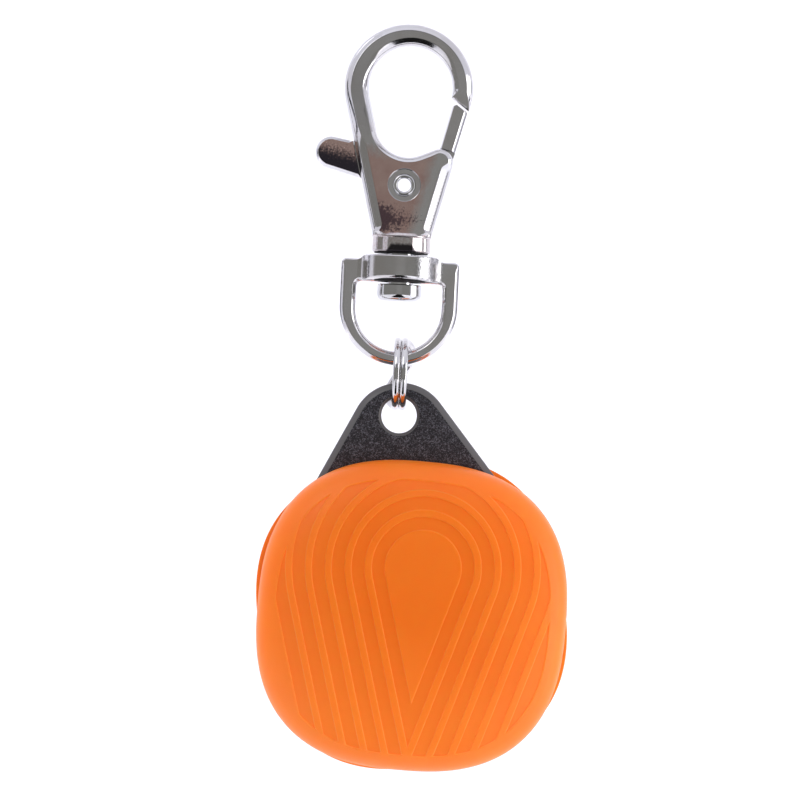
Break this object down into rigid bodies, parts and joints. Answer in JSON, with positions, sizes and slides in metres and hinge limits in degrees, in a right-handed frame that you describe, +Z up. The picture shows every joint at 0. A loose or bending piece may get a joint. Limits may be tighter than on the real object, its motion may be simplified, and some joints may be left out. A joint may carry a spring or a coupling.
{
  "type": "clip-on safety light",
  "caption": "Clip-on safety light: swivel trigger snap hook, split ring and a two-sided orange pebble light on an eared plate, with a twist-to-switch front cover.",
  "frame": {"origin": "inside top of the snap hook's opening, where the object hangs from a loop, strap or ring", "axes": "+Z up along the snap hook's and swivel's axis, +Y to the back through the thickness, +X to the gate side; the front of the light faces -Y"},
  "size_m": [0.0355, 0.015, 0.0842],
  "materials": {
    "nickel": "nickel plate over a zinc casting, polished, with soft rounded arrises",
    "spring_steel": "plain drawn spring wire and strip",
    "rivet_steel": "nickel-plated eyelet, satin",
    "ring_steel": "nickel-plated spring wire, polished",
    "plate_black": "black textured face with fine bright flecks and smooth satin bevels",
    "black_nylon": "black moulded nylon",
    "orange_cover": "translucent orange moulding, smooth satin gloss, with shallow relief bands",
    "seal_rubber": "black nitrile",
    "board_green": "green solder mask on glass-fibre board",
    "led_lens": "yellow phosphor in a white package",
    "chip_black": "black epoxy",
    "contact_brass": "gold-flashed brass strip",
    "screw_steel": "zinc-plated steel",
    "cell_steel": "drawn stainless can",
    "pad_foam": "closed-cell foam"
  },
  "bodies": {
    "hook": {"hook_body": "nickel", "trigger_spring": "spring_steel", "lever_rivet": "rivet_steel", "swivel_rivet": "nickel"},
    "trigger": {"trigger_lever": "nickel"},
    "eye": {"swivel_eye": "nickel"},
    "ring": {"split_ring": "ring_steel"},
    "light": {"mount_plate": "plate_black", "core_housing": "black_nylon", "retaining_ring": "spring_steel", "circuit_board": "board_green", "leds": "led_lens", "driver_chip": "chip_black", "contact_pads": "contact_brass", "board_screws": "screw_steel", "coin_cell": "cell_steel", "positive_contact": "contact_brass", "negative_contact": "contact_brass"},
    "front": {"front_cover": "orange_cover", "front_carrier": "black_nylon", "front_seal": "seal_rubber", "switch_wiper": "contact_brass"},
    "rear": {"rear_cover": "orange_cover", "rear_carrier": "black_nylon", "rear_seal": "seal_rubber", "battery_pad": "pad_foam"}
  },
  "joints": [
    {"name": "trigger_pivot", "type": "hinge", "parent": "hook", "child": "trigger", "pos_m": [0, 0, -0.016], "axis": [0, -1, 0], "range_deg": [0, 24], "stiffness_Nm_per_rad": 0.03, "springref_deg": -20.05, "deforming": ["trigger_spring"]},
    {"name": "eye_swivel", "type": "hinge", "parent": "hook", "child": "eye", "pos_m": [0, 0, -0.0253], "axis": [0, 0, 1], "continuous": true},
    {"name": "ring_swing", "type": "hinge", "parent": "eye", "child": "ring", "pos_m": [0.00055, 0, -0.0354], "axis": [1, 0, 0], "range_deg": [-90, 90]},
    {"name": "light_swing", "type": "hinge", "parent": "ring", "child": "light", "pos_m": [0.00055, 0, -0.0409], "axis": [0, 1, 0], "range_deg": [-48.65, 61.35]},
    {"name": "front_twist", "type": "hinge", "parent": "light", "child": "front", "pos_m": [0.00314, 0, -0.06421], "axis": [0, 1, 0], "range_deg": [-8.6, 36.4]},
    {"name": "rear_twist", "type": "hinge", "parent": "light", "child": "rear", "pos_m": [0.00314, 0, -0.06421], "axis": [0, 1, 0], "range_deg": [0, 60]}
  ]
}
